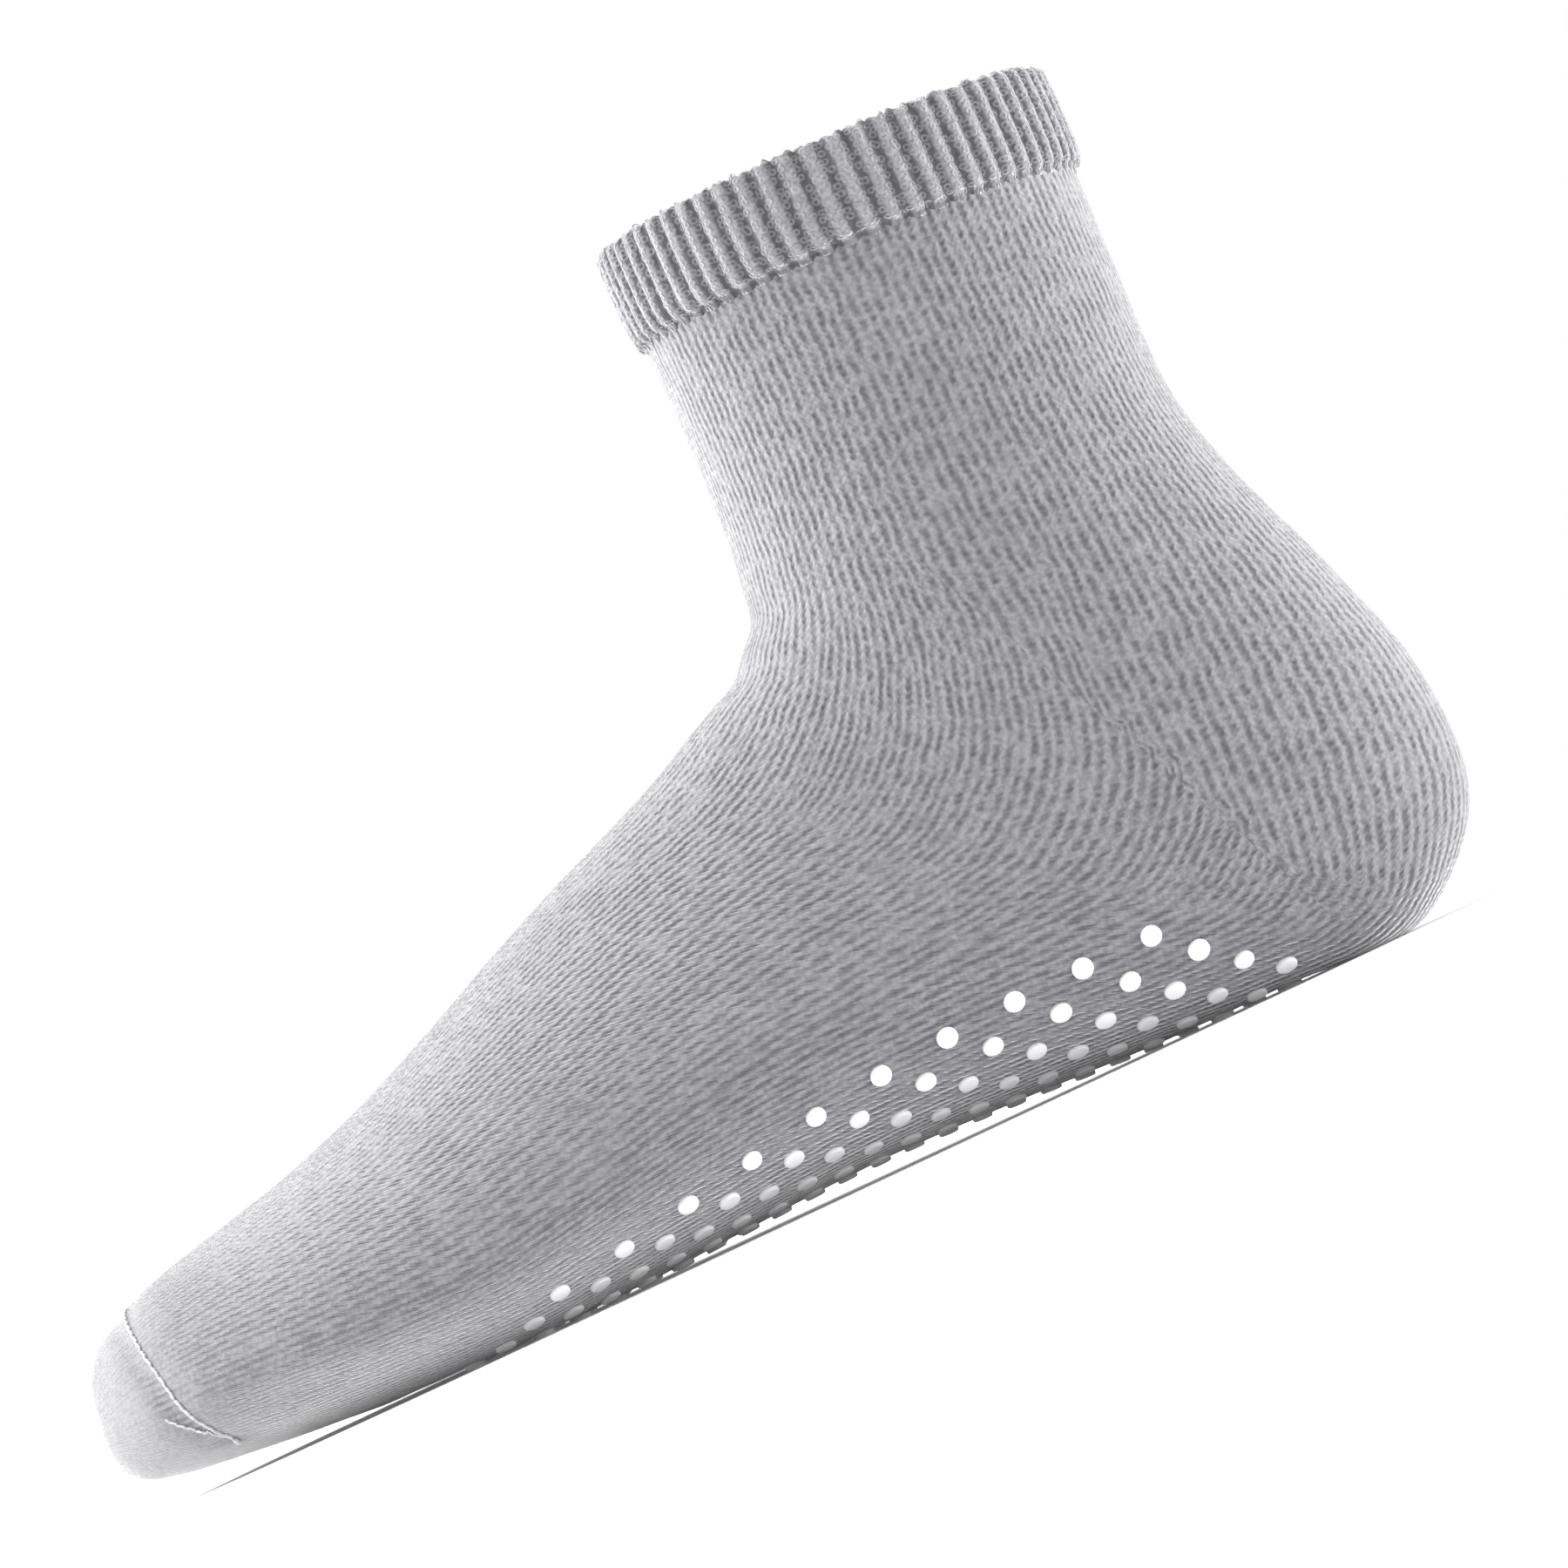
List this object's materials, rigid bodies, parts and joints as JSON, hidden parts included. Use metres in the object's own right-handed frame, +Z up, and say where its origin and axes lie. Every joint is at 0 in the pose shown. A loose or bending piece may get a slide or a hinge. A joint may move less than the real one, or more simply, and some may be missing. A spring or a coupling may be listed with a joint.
{
  "type": "slipper sock",
  "caption": "Short knitted slipper sock in its worn form, with a ribbed cuff, a raised seam over the toes and staggered grip dots under the sole.",
  "frame": {"origin": "on the floor at the middle of the sock's outline", "axes": "+X towards the heel, -X towards the toes, -Y towards the outer side of the foot, +Y towards the inner side, +Z up the leg"},
  "size_m": [0.2396, 0.0902, 0.1503],
  "materials": {
    "jersey": "plain knit in mid grey heather yarn, matt",
    "rib": "ribbed elastic knit in the same grey yarn, matt",
    "linking_thread": "light grey linking thread, matt",
    "grip_print": "white silicone dots printed on the sole, satin"
  },
  "bodies": {
    "root": {"knit_body": "jersey", "rib_cuff": "rib", "toe_seam": "linking_thread"}
  },
  "joints": []
}
